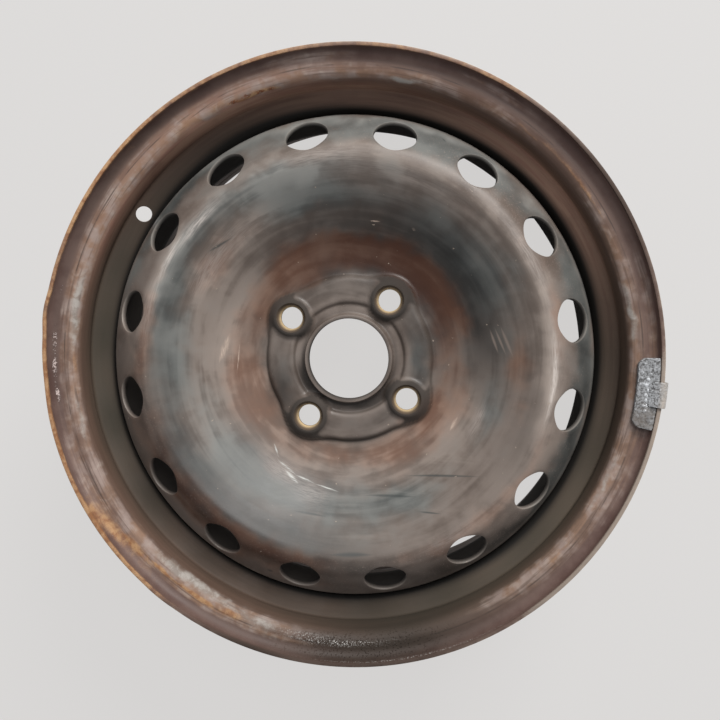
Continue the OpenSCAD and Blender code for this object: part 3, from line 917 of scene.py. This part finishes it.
# %% A group for rust
rust_bloom, given, result = new_group("rust_bloom", [("Place", ARROW), ("Amount", NUMBER)],
                                      [("Mask", NUMBER), ("Color", COLOUR), ("Height", NUMBER)])
tree = rust_bloom
broad = noise(given["Place"], 0.09, 3)
middling = noise(given["Place"], 0.17, 3, 0.5, 0.5)
fine = noise(given["Place"], 0.9, 3, 0.6)
ragged = shaken(shaken(shaken(given["Amount"], broad, 0.35), middling, 0.35), fine, 0.15)
rust_mask = times(ramp(ragged, 0.2, 0.85), ramp(given["Amount"], 0.02, 0.2))
rust_colour = mixed(ramp(middling, 0.34, 0.66), (0.27, 0.125, 0.058), (0.43, 0.255, 0.135))
rust_colour = mixed(ramp(fine, 0.45, 0.30, 0.0, 0.4), rust_colour, (0.18, 0.072, 0.034))
feed(result["Mask"], rust_mask)
feed(result["Color"], rust_colour)
feed(result["Height"], times(rust_mask, fine))
tell(tree.name)

# %% A group for scuffed, chalky metal
scuffing, given, result = new_group("scuffing",
                                    [("Place", ARROW), ("Around", ARROW), ("Amount", NUMBER)],
                                    [("Mask", NUMBER), ("Color", COLOUR), ("Height", NUMBER)])
tree = scuffing
streaks = noise(given["Around"], 3.0, 5, 0.6)
grit = noise(given["Place"], 0.13, 3, 0.5, 0.4)
cloud = noise(given["Place"], 0.06, 3, 0.6)
worn = shaken(shaken(shaken(given["Amount"], streaks, 0.8), grit, 0.5), cloud, 0.7)
scuff_mask = times(ramp(worn, 0.1, 0.95), ramp(given["Amount"], 0.05, 0.3))
chalk = mixed(ramp(cloud, 0.40, 0.60), (0.275, 0.168, 0.115), (0.320, 0.243, 0.212))
chalk = mixed(ramp(grit, 0.50, 0.75, 0.0, 0.5), chalk, (0.43, 0.355, 0.31))
chalk = mixed(ramp(streaks, 0.50, 0.32, 0.0, 0.8), chalk, (0.13, 0.088, 0.070))
feed(result["Mask"], scuff_mask)
feed(result["Color"], chalk)
feed(result["Height"], times(scuff_mask, grit))
tell(tree.name)

# %% A group for one scratch
# A scratch is a straight mark that is widest in its middle. It lies where its middle and its
# direction put it, seen along the axis, so a few of them draw the marks that a wheel has got.
scratch, given, result = new_group("scratch", [("Place", ARROW), ("Middle", ARROW), ("Along", ARROW),
                                               ("Reach", NUMBER), ("Width", NUMBER)], [("Mask", NUMBER)])
tree = scratch
off = vector_calc("SUBTRACT", given["Place"], given["Middle"])["Vector"]
off = vector_calc("MULTIPLY", off, (1.0, 1.0, 0.0))["Vector"]
down = vector_calc("DOT_PRODUCT", off, given["Along"])["Value"]
span = vector_calc("DOT_PRODUCT", off, off)["Value"]
aside = calc("SUBTRACT", span, times(down, down))
aside = calc("SQRT", calc("MAXIMUM", aside, 0.0))
share = calc("DIVIDE", down, given["Reach"])
taper = plus(calc("DIVIDE", aside, given["Width"]), times(share, share))
feed(result["Mask"], ramp(taper, 0.0, 1.0, 1.0, 0.0))
tell(tree.name)


def scratches(place, marks):
    """The mask of several scratches, each a start and an end in mm and a half width."""
    mask = 0.0
    for start, end, width in marks:
        a, b = Vector((*start, 0)), Vector((*end, 0))
        one = use_group(scratch, Place=place, Middle=(a + b) / 2, Along=(b - a).normalized(),
                        Reach=(b - a).length * 0.6, Width=width)["Mask"]
        mask = calc("MAXIMUM", mask, one)
    return mask


# %% [markdown]
# The rim's primer has faded to a purple brown. Over it come the chalky band where levers and a
# wheel trim have rubbed the heel, rust that creeps in from the lip and sits in a row of pits, the
# bare edge of the lip on one side, a few flakes of lifted paint, soot and painted shade in the well,
# and a wet patch at the bottom, which is darker and glossier. Painted shadow lies in the crevice by
# the disc and painted shade in a crease, and painted light brightens the shaded hump and glints on
# the wet heel. One image could hold all this, but it would blur close up. Each layer is mixed over
# the last instead, from the paint up, as the wear came.

# %% Primer of the rim
rim_finish, tree = new_material("rim_finish")
place, around = wheel_place()
clouds = noise(place, 0.04, 4, 0.6)
streaks = noise(around, 2.0, 4, 0.6)
specks = noise(place, 0.9, 5, 0.7)
primer = mixed(ramp(streaks, 0.35, 0.65), (0.125, 0.076, 0.056), (0.165, 0.100, 0.074))
lip_primer = mixed(ramp(clouds, 0.35, 0.65), (0.104, 0.062, 0.054), (0.153, 0.100, 0.086))
primer = mixed(times(painted("olive"), 0.8), primer, (0.100, 0.081, 0.060))
colour = mixed(painted("lip"), primer, lip_primer)
colour = mixed(ramp(specks, 0.55, 0.8, 0.0, 0.35), colour, (0.18, 0.14, 0.12))
# A dark line along the crease between flange and heel is painted shade.
crease_at = 19.1
off_crease = calc("ABSOLUTE", calc("SUBTRACT", painted("along"), crease_at))
crease = ramp(off_crease, 0.15, 0.6, 1.0, 0.0)
crease = times(crease, ramp(clouds, 0.38, 0.62, 0.0, 0.6))
# Painted light: the hump's tan is brighter than the paint itself.
hump = times(painted("hump"), ramp(clouds, 0.2, 0.5, 0.6, 1.0))
hump_colour = mixed(ramp(streaks, 0.4, 0.6), (0.420, 0.228, 0.168), (0.500, 0.305, 0.218))
colour = mixed(hump, colour, hump_colour)
tell("rim_finish")

# %% Scuffs, cracks and a painted shade line of the rim
scuff = use_group(scuffing, Place=place, Around=around, Amount=painted("scuff"))
colour = mixed(scuff["Mask"], colour, scuff["Color"])
patchy = noise(place, 0.16, 3, 0.55, 0.4)
silvered = ramp(shaken(painted("silver"), patchy, 0.8), 0.2, 1.0)
silvered = times(silvered, ramp(painted("silver"), 0.1, 0.4))
silver_tone = ramp(shaken(patchy, specks, 0.4), 0.35, 0.65)
silver_colour = mixed(silver_tone, (0.245, 0.212, 0.187), (0.40, 0.365, 0.335))
colour = mixed(silvered, colour, silver_colour)
cracks = scratches(place, [
    ((-178, -85), (-162, -110), 0.35), ((-107, 161), (-86, 175), 0.35), ((-170, 95), (-156, 116), 0.35),
    ((-188, -62), (-180, -80), 0.3)])
# Painted shade in the crease, with a few dark cracks.
crease_shade_and_cracks = calc("MAXIMUM", crease, times(cracks, 0.7))
colour = mixed(crease_shade_and_cracks, colour, (0.035, 0.026, 0.023))
tell("rim_finish")

# %% Rust, pits and flakes of the rim
rust = use_group(rust_bloom, Place=place, Amount=painted("rust"))
colour = mixed(rust["Mask"], colour, rust["Color"])
pits = scratches(place, [
    ((-79, 172), (-72, 175), 1.3), ((-71, 175.5), (-63, 178.5), 1.5), ((-62, 178.5), (-54, 181), 1.2),
    ((-53, 181), (-47, 182.5), 1.0)])
pit_grain = ramp(shaken(specks, patchy, 0.6), 0.42, 0.58)
pits = times(ramp(pits, 0.05, 0.5), pit_grain)
pit_colour = mixed(ramp(specks, 0.45, 0.62), (0.060, 0.020, 0.012), (0.30, 0.105, 0.048))
colour = mixed(pits, colour, pit_colour)
bare_edge = ramp(shaken(painted("bare"), specks, 0.6), 0.35, 0.6)
colour = mixed(bare_edge, colour, (0.27, 0.22, 0.185))
flake = noise(place, 0.42, 3, 0.6, 1.5)
flaked = ramp(shaken(painted("flakes"), flake, 2.6), 0.62, 0.85)
flaked = times(flaked, ramp(painted("flakes"), 0.1, 0.3))
colour = mixed(flaked, colour, (0.66, 0.54, 0.51))
tell("rim_finish")

# %% Water, soot, painted shade and glints, and edge of the rim
wet = painted("wet")
drops = times(ramp(noise(place, 0.75, 2, 0.5), 0.60, 0.68), wet)
colour = mixed(times(wet, 0.85), colour, (0.026, 0.021, 0.018))
# Soot and painted shade darken the wall, the bottom of the lip and the inside of the barrel.
soot_and_shade = mixed(painted("olive"), (0.034, 0.024, 0.018), (0.033, 0.030, 0.022))
colour = mixed(times(painted("grime_and_shade"), 0.93), colour, soot_and_shade)
# Painted highlights: small white glints on the wet heel.
grains = ramp(noise(place, 1.1, 3, 0.6), 0.52, 0.62)
painted_glints = times(grains, painted("sparkle"))
colour = mixed(painted_glints, colour, (0.70, 0.68, 0.65))
rolled = times(painted("rolled_edge"), ramp(patchy, 0.4, 0.6, 0.2, 0.9))
rolled = times(rolled, ramp(painted("grime_and_shade"), 0.3, 0.9, 1.0, 0.1))
colour = mixed(rolled, colour, mixed(rust["Mask"], (0.50, 0.41, 0.33), (0.50, 0.335, 0.215)))
# Painted shadow in the crevice between the disc and the well.
colour = mixed(ramp(painted("crevice_shadow"), 0.12, 0.65), colour, (0.006, 0.005, 0.004))
tell("rim_finish")

# %% Gloss and relief of the rim
def dressed(piece, material, colour, roughness, height, bump_depth, specular=0.5, metallic=0.0):
    """Ends a finish with a Principled shader and a bump of so many mm, and puts it on a piece."""
    shader = tree.nodes.new("ShaderNodeBsdfPrincipled")
    shader.inputs["Specular IOR Level"].default_value = specular
    bumps = tree.nodes.new("ShaderNodeBump")
    bumps.inputs["Strength"].default_value = 1.0
    bumps.inputs["Distance"].default_value = bump_depth * MM
    feed(bumps.inputs["Height"], height)
    for title, value in (("Base Color", colour), ("Roughness", roughness), ("Metallic", metallic),
                         ("Normal", bumps.outputs[0])):
        feed(shader.inputs[title], value)
    surface = tree.nodes.new("ShaderNodeOutputMaterial")
    feed(surface.inputs["Surface"], shader.outputs[0])
    piece.data.materials.append(material)
    tell(material.name)


rough = plus(ramp(clouds, 0.3, 0.7, 0.38, 0.50), times(scuff["Mask"], 0.2))
rough = plus(rough, times(rust["Mask"], 0.3))
rough = plus(rough, times(painted("grime_and_shade"), 0.35))
rough = calc("SUBTRACT", rough, times(wet, 0.3), clamp=True)
height = plus(times(specks, 0.3), plus(rust["Height"], scuff["Height"]))
lifted = plus(times(flaked, 1.5), times(drops, 2.0))
height = plus(height, lifted)
dressed(rim, rim_finish, colour, rough, height, bump_depth=0.25, specular=0.28)

# %% [markdown]
# The disc keeps its thin black primer, rubbed through in smears to grey green and brown. The
# smears run round the axis, as a cloth does on a spinning wheel, except at the bottom, where it
# was wiped from side to side. It is smoother than the rim, so it shows the lamps as soft streaks.
# Some of its dark and pale smears and bright streaks are painted shade and painted highlights.

# %% Smears, painted shade and painted light of the disc
disc_finish, tree = new_material("disc_finish")
place, around = wheel_place()
patches = noise(place, 0.022, 2, 0.45, 0.7)
mottle = noise(place, 0.075, 3, 0.5, 0.3)
drag = noise(around, 0.8, 4, 0.5, 0.5)
hairlines = noise(around, 9.0, 5, 0.6)
wipes = noise(vector_calc("MULTIPLY", place, (0.012, 0.11, 0.0))["Vector"], 1.0, 4, 0.6)
specks = noise(place, 0.8, 4, 0.6)
tone = shaken(shaken(times(patches, 0.8), mottle, 0.5), drag, 0.7)
tone = ramp(tone, 0.16, 0.64)
base = mixed(tone, (0.098, 0.076, 0.064), (0.182, 0.149, 0.130))
teal = mixed(tone, (0.064, 0.070, 0.069), (0.142, 0.145, 0.138))
brown = mixed(tone, (0.118, 0.054, 0.033), (0.205, 0.124, 0.088))
tealed = ramp(shaken(shaken(painted("teal"), patches, 1.0), mottle, 0.5), 0.1, 0.9)
browned = ramp(shaken(shaken(painted("brown"), patches, -0.9), mottle, 0.6), 0.1, 0.95)
colour = mixed(browned, mixed(tealed, base, teal), brown)
# Pale smears are wear and painted light together, and the wiped strokes add pale streaks.
paled = plus(times(painted("pale"), ramp(tone, 0.1, 0.8, 0.35, 1.0)),
             times(painted("wiped"), ramp(wipes, 0.5, 0.75, 0.0, 0.5)), clamp=True)
pale_wear_and_light = mixed(tealed, (0.280, 0.232, 0.200), (0.260, 0.258, 0.242))
colour = mixed(paled, colour, mixed(browned, pale_wear_and_light, (0.310, 0.212, 0.165)))
# Painted shade: the dark strokes darken the colour where the dish lies in shade and where it mirrors
# something dark.
shade = times(painted("dark"), ramp(tone, 0.0, 0.9, 1.0, 0.92))
colour = mixed(shade, colour, mixed(browned, (0.018, 0.017, 0.016), (0.034, 0.012, 0.006)))
flecks = times(painted("flecked"), ramp(specks, 0.54, 0.70, 0.0, 0.5))
colour = mixed(flecks, colour, (0.30, 0.235, 0.205))
# Painted highlights from the shine strokes, broken into streaks by the hairlines.
sheen_and_rubbing = times(painted("shine"), ramp(hairlines, 0.35, 0.6, 0.3, 1.0))
colour = mixed(sheen_and_rubbing, colour, (0.60, 0.54, 0.50))
tell("disc_finish")

# %% Scratches and painted highlight streaks of the disc
dark_marks = scratches(place, [
    ((12, -97), (48, -96), 1.6), ((50, -105), (66, -105), 1.0), ((40, -83), (92, -79), 1.3),
    ((-10, -134), (19, -133), 2.4), ((-80, 84), (-96, 74), 1.4), ((-57, -150.5), (-52.5, -151.7), 1.6),
    ((-38, -107), (-14, -111), 1.2), ((64, 151), (67, 148), 0.8)])
colour = mixed(times(dark_marks, 0.75), colour, (0.040, 0.046, 0.046))
# Painted highlights: pale streaks in the lower left of the dish, where a lamp shows as a glint.
highlight_streaks = scratches(place, [
    ((-51, -73.5), (-37.4, -84.2), 1.2), ((-38, -84), (-23.6, -90.1), 1.0),
    ((-24, -90), (-7.4, -95), 0.9), ((-45.4, -80.6), (-35.8, -90), 1.8),
    ((-54.3, -61.6), (-50.8, -71.2), 0.9)])
streak_breakup = ramp(hairlines, 0.35, 0.62, 0.15, 0.8)
colour = mixed(times(highlight_streaks, streak_breakup), colour, (0.58, 0.59, 0.56))
# Painted highlights on the left and right of the dish, and a few small warm marks.
warm_highlights_and_marks = scratches(place, [
    ((-79.2, 10.2), (-81.1, -10.8), 0.8), ((-86, 16.4), (-93.2, -3.3), 3.2),
    ((77, -40.6), (71.7, -50.4), 1.8), ((59.1, 13.6), (59.8, 12.2), 1.0), ((15, 96.3), (22, 95.6), 0.9),
    ((44, 91), (46.6, 89), 1.1)])
colour = mixed(times(warm_highlights_and_marks, streak_breakup), colour, (0.50, 0.39, 0.32))
combed = scratches(place, [
    ((98.3, 21), (104, 5), 1.4), ((105.4, 22.7), (113.4, 3), 1.6), ((101.5, 22), (109, 4), 1.2)])
colour = mixed(times(combed, 0.7), colour, (0.24, 0.19, 0.162))
tell("disc_finish")

# %% Painted shade and dirt in the grooves, bare edges, seats and back of the disc
# Painted shade and dirt in the grooves round the pad, the bosses and the collar.
colour = mixed(times(painted("dirt_and_shade"), 0.85), colour, (0.022, 0.017, 0.014))
# Bare edges with painted highlights along the vents, the collar and the shoulder.
colour = mixed(times(painted("edge"), 0.4), colour, (0.36, 0.32, 0.285))
seat = painted("bare")
seat_colour = mixed(ramp(seat, 0.45, 0.9), (0.20, 0.135, 0.085), (0.62, 0.46, 0.26))
colour = mixed(ramp(seat, 0.05, 0.3), colour, seat_colour)
nicks = ramp(noise(place, 0.35, 2, 0.5), 0.74, 0.78, 0.0, 0.7)
colour = mixed(nicks, colour, (0.32, 0.26, 0.21))
# Painted shade: the back of the disc is darkened and made matt.
colour = mixed(times(painted("behind"), 0.85), colour, (0.038, 0.032, 0.028))
tell("disc_finish")

# %% Gloss and relief of the disc
rough = plus(ramp(tone, 0.0, 1.0, 0.34, 0.46), times(hairlines, 0.06))
rough = plus(rough, times(painted("behind"), 0.6), clamp=True)
height = plus(times(specks, 0.5), times(hairlines, 0.3))
waves = plus(mottle, times(patches, 2.5))
height = plus(height, waves)
dressed(disc, disc_finish, colour, rough, height, bump_depth=0.04, specular=0.32)

# %% [markdown]
# The welds were painted with the rest and have rusted through on their crests. The weight is dull
# grey with dark pits and bright rubbed high spots. Its clip is the weight's grey where it is cast
# in, and paler and browner where it bends over the lip. Noise alone would put the dark anywhere, so
# both finishes read how deep each vertex was pitted.

# %% Finish of the welds
weld_finish, tree = new_material("weld_finish")
place, _ = wheel_place()
specks = noise(place, 0.7, 4, 0.65)
crests = ramp(noise(place, 0.2, 3), 0.4, 0.65, 0.1, 0.75)
rust = use_group(rust_bloom, Place=place, Amount=crests)
colour = mixed(ramp(specks, 0.35, 0.65), (0.030, 0.024, 0.020), (0.060, 0.046, 0.038))
colour = mixed(rust["Mask"], colour, rust["Color"])
rough = ramp(specks, 0.3, 0.7, 0.45, 0.75)
dressed(welds, weld_finish, colour, rough, plus(specks, rust["Height"]), bump_depth=0.2)

# %% Finish of the weight and the clip
pit_grey, body_grey, rubbed_grey = (0.080, 0.078, 0.078), (0.27, 0.275, 0.285), (0.74, 0.76, 0.79)
greys = ((weight, "weight_finish", (0.130, 0.110, 0.095), (-10.4, 198, 2.8, 30, 0.8)),
         (clip, "clip_finish", (0.40, 0.355, 0.315), (-5.5, 207.5, WHOLE_TURN, 3, 0.9)))
for piece, name, tint, stain in greys:
    lay(piece, "stain", polar(places(piece))[0], [stain])
    material, tree = new_material(name)
    place, _ = wheel_place()
    clouds = noise(place, 0.12, 3, 0.6)
    grit = noise(place, 0.9, 4, 0.7)
    relief = shaken(shaken(painted("relief"), grit, 1.3), clouds, 0.4)
    colour = mixed(ramp(relief, 0.26, 0.58), pit_grey, body_grey)
    # The weight's rounded edges are rubbed bright, with some painted sheen where light catches them.
    sheen_and_rubbing = times(painted("edge"), ramp(grit, 0.4, 0.6))
    high = calc("MAXIMUM", ramp(relief, 0.62, 0.92), sheen_and_rubbing)
    colour = mixed(high, colour, rubbed_grey)
    stain = times(painted("stain"), ramp(clouds, 0.35, 0.6, 0.4, 1.0))
    colour = mixed(stain, colour, tint)
    rough = ramp(relief, 0.3, 0.9, 0.60, 0.36)
    metallic = times(high, 0.5)
    dressed(piece, material, colour, rough, grit, bump_depth=0.2, metallic=metallic)

# %% [markdown]
# ## Putting the meshes in place
#
# Each mesh takes the place of the CAD solid that it was modelled for. A wheel on its own has one
# body, so all of them ride on it. Smooth shading would smear light over the cut edges of the
# sheets, so it stops at angles that are sharper than a bend.

# %% Shade and ride
sharpest_smooth = math.radians(38)
stand_ins = ((rim, "rim"), (disc, "disc"), (welds, "weld_beads"), (weight, "balance_weight"),
             (clip, "weight_clip"))
for piece, node in stand_ins:
    select_only(piece)
    bpy.ops.object.shade_smooth_by_angle(angle=sharpest_smooth)
    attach(piece, "root")
    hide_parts(node)
    print(piece.name, "stands for", node, "with", len(piece.data.polygons), "faces")

# %% [markdown]
# ## Floor and light
#
# The wheel lies on a plain pale floor in soft studio light. One large lamp stands to the upper
# right of the picture, low enough to rake across the dish: its far wall lights up and its near
# wall falls into shade, as in the picture. A small, much weaker lamp on the same side, nearer to
# the axis, gives the soft highlight in the lower left of the dish, and an even world fills the
# shadows. Rays from the camera see the floor as a pale glow with a share of its real shading, so
# that it stays white and still takes the wheel's shadow.

# %% Add the floor
floor_height = cad_box[0].z
bpy.ops.object.select_all(action="DESELECT")
bpy.ops.mesh.primitive_plane_add(size=8, location=(0, 0, floor_height))
floor = bpy.context.object
floor.name = "floor"

floor_paint, tree = new_material("floor_paint")
matt = tree.nodes.new("ShaderNodeBsdfDiffuse")
matt.inputs["Color"].default_value = (0.80, 0.80, 0.80, 1)
glow = tree.nodes.new("ShaderNodeEmission")
glow.inputs["Color"].default_value = (0.70, 0.685, 0.675, 1)
rays = tree.nodes.new("ShaderNodeLightPath").outputs
seen = rays["Is Camera Ray"]
for kind in ("Is Glossy Ray", "Is Transmission Ray"):
    seen = calc("MAXIMUM", seen, rays[kind])
glow_share = 0.9
mix = tree.nodes.new("ShaderNodeMixShader")
feed(mix.inputs[0], times(seen, glow_share))
feed(mix.inputs[1], matt.outputs[0])
feed(mix.inputs[2], glow.outputs[0])
feed(tree.nodes.new("ShaderNodeOutputMaterial").inputs["Surface"], mix.outputs[0])
floor.data.materials.append(floor_paint)
print("Floor at", round(floor_height / MM, 1), "mm")

# %% Hang the lamps
world = bpy.data.worlds.new("studio")
world.use_nodes = True
sky = world.node_tree.nodes["Background"].inputs
sky["Color"].default_value = (0.95, 0.97, 1.0, 1)
sky["Strength"].default_value = 0.35
scene.world = world


def add_lamp(name, azimuth, lean, distance, size, power, colour):
    """A square lamp aimed at the hub, by its compass angle and its lean off the axis in degrees."""
    a, b = math.radians(azimuth), math.radians(lean)
    way = Vector((math.sin(b) * math.cos(a), math.sin(b) * math.sin(a), math.cos(b)))
    bpy.ops.object.light_add(type="AREA", location=way * distance)
    lamp = bpy.context.object
    lamp.name = name
    lamp.rotation_euler = way.to_track_quat("Z", "Y").to_euler()
    lamp.data.shape = "SQUARE"
    lamp.data.size = size
    lamp.data.energy = power
    lamp.data.color = colour


add_lamp("key_lamp", azimuth=65, lean=52, distance=2.0, size=0.8, power=45, colour=(1.0, 0.98, 0.95))
add_lamp("top_lamp", azimuth=64, lean=25, distance=1.6, size=0.4, power=6, colour=(1.0, 1.0, 1.0))

# %% Finish
scene.view_settings.view_transform = "Standard"
